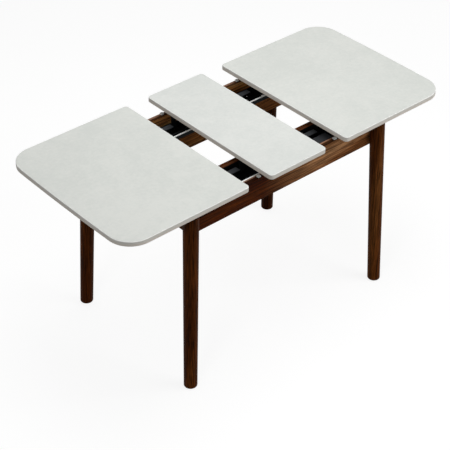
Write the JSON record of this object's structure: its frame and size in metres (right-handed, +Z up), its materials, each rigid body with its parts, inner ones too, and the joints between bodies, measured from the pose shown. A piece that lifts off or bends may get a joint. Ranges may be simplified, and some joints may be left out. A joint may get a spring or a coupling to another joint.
{
  "type": "extending dining table",
  "caption": "Dining table with two sliding half tops that part on steel slides around a lift-up centre leaf, on an apron frame with round tapered legs.",
  "frame": {"origin": "on the floor under the middle of the table", "axes": "+X along the length towards the right top, -Y towards the long front side, +Z up"},
  "size_m": [1.464, 0.652, 0.75],
  "materials": {
    "panel_lacquer": "satin off-white lacquer on board",
    "wood_dark": "dark walnut, satin lacquer",
    "wood_plain": "unfinished hardwood",
    "steel_black": "black powder coat",
    "steel_slate": "slate-grey coating",
    "steel_bright": "zinc-plated",
    "nylon_white": "natural white nylon",
    "foot_plastic": "black plastic"
  },
  "bodies": {
    "frame": {"leg_front_left": "wood_dark", "leg_front_right": "wood_dark", "leg_back_left": "wood_dark", "leg_back_right": "wood_dark", "front_apron": "wood_dark", "back_apron": "wood_dark", "left_end_apron": "wood_dark", "right_end_apron": "wood_dark", "front_inner_rail": "wood_dark", "back_inner_rail": "wood_dark", "corner_braces": "wood_plain", "cross_rails": "wood_plain", "tray_bearers": "wood_plain", "front_tray": "steel_black", "back_tray": "steel_black", "slide_channels": "steel_black", "lift_brackets": "steel_black", "back_guide_track": "steel_black", "lift_covers": "steel_slate", "lock_plate": "steel_slate", "hanger_bolts": "steel_bright", "tray_screws": "steel_bright", "pivot_pins": "steel_bright", "back_glide_strip": "nylon_white", "front_glide_strip": "nylon_white", "rest_pads": "nylon_white", "track_stops": "nylon_white", "slide_liners": "nylon_white", "shaft_bushes": "nylon_white", "pivot_spacers": "nylon_white", "foot_glides": "foot_plastic"},
    "left_top": {"left_top": "panel_lacquer", "left_slide_bars": "steel_black", "left_rack": "steel_black", "left_top_screws": "steel_bright"},
    "right_top": {"right_top": "panel_lacquer", "right_slide_bars": "steel_black", "right_rack": "steel_black", "right_top_screws": "steel_bright"},
    "sync_shaft": {"sync_shaft": "steel_bright", "front_pinion": "steel_bright", "back_pinion": "steel_bright", "shaft_collars": "steel_bright"},
    "leaf": {"leaf": "panel_lacquer", "leaf_carriers": "steel_black", "leaf_screws": "steel_bright"},
    "lift_lever_front_left": {"lift_lever_front_left": "steel_black"},
    "lift_lever_front_right": {"lift_lever_front_right": "steel_black"},
    "lift_lever_back_left": {"lift_lever_back_left": "steel_black"},
    "lift_lever_back_right": {"lift_lever_back_right": "steel_black"}
  },
  "joints": [
    {"name": "left_slide", "type": "slide", "parent": "frame", "child": "left_top", "axis": [1, 0, 0], "range_m": [0, 0.0917]},
    {"name": "right_slide", "type": "slide", "parent": "frame", "child": "right_top", "axis": [-1, 0, 0], "range_m": [0, 0.0917]},
    {"name": "sync_spin", "type": "hinge", "parent": "frame", "child": "sync_shaft", "pos_m": [0, 0, 0.675], "axis": [0, 1, 0], "range_deg": [0, 438]},
    {"name": "leaf_lift", "type": "slide", "parent": "frame", "child": "leaf", "axis": [0, 0, 1], "range_m": [-0.02, 0]},
    {"name": "lift_lever_front_left_swing", "type": "hinge", "parent": "frame", "child": "lift_lever_front_left", "pos_m": [-0.176, -0.163, 0.676], "axis": [0, -1, 0], "range_deg": [-19.2, 0]},
    {"name": "lift_lever_front_right_swing", "type": "hinge", "parent": "frame", "child": "lift_lever_front_right", "pos_m": [0.176, -0.163, 0.676], "axis": [0, 1, 0], "range_deg": [-19.2, 0]},
    {"name": "lift_lever_back_left_swing", "type": "hinge", "parent": "frame", "child": "lift_lever_back_left", "pos_m": [-0.176, 0.187, 0.676], "axis": [0, -1, 0], "range_deg": [-19.2, 0]},
    {"name": "lift_lever_back_right_swing", "type": "hinge", "parent": "frame", "child": "lift_lever_back_right", "pos_m": [0.176, 0.187, 0.676], "axis": [0, 1, 0], "range_deg": [-19.2, 0]}
  ],
  "couplings": [
    {"joint": "right_slide", "follows": "left_slide", "ratio": 1},
    {"joint": "sync_spin", "follows": "left_slide", "rad_per_m": 83.333},
    {"joint": "lift_lever_front_left_swing", "follows": "leaf_lift", "rad_per_m": 16.745},
    {"joint": "lift_lever_front_right_swing", "follows": "leaf_lift", "rad_per_m": 16.745},
    {"joint": "lift_lever_back_left_swing", "follows": "leaf_lift", "rad_per_m": 16.745},
    {"joint": "lift_lever_back_right_swing", "follows": "leaf_lift", "rad_per_m": 16.745}
  ]
}
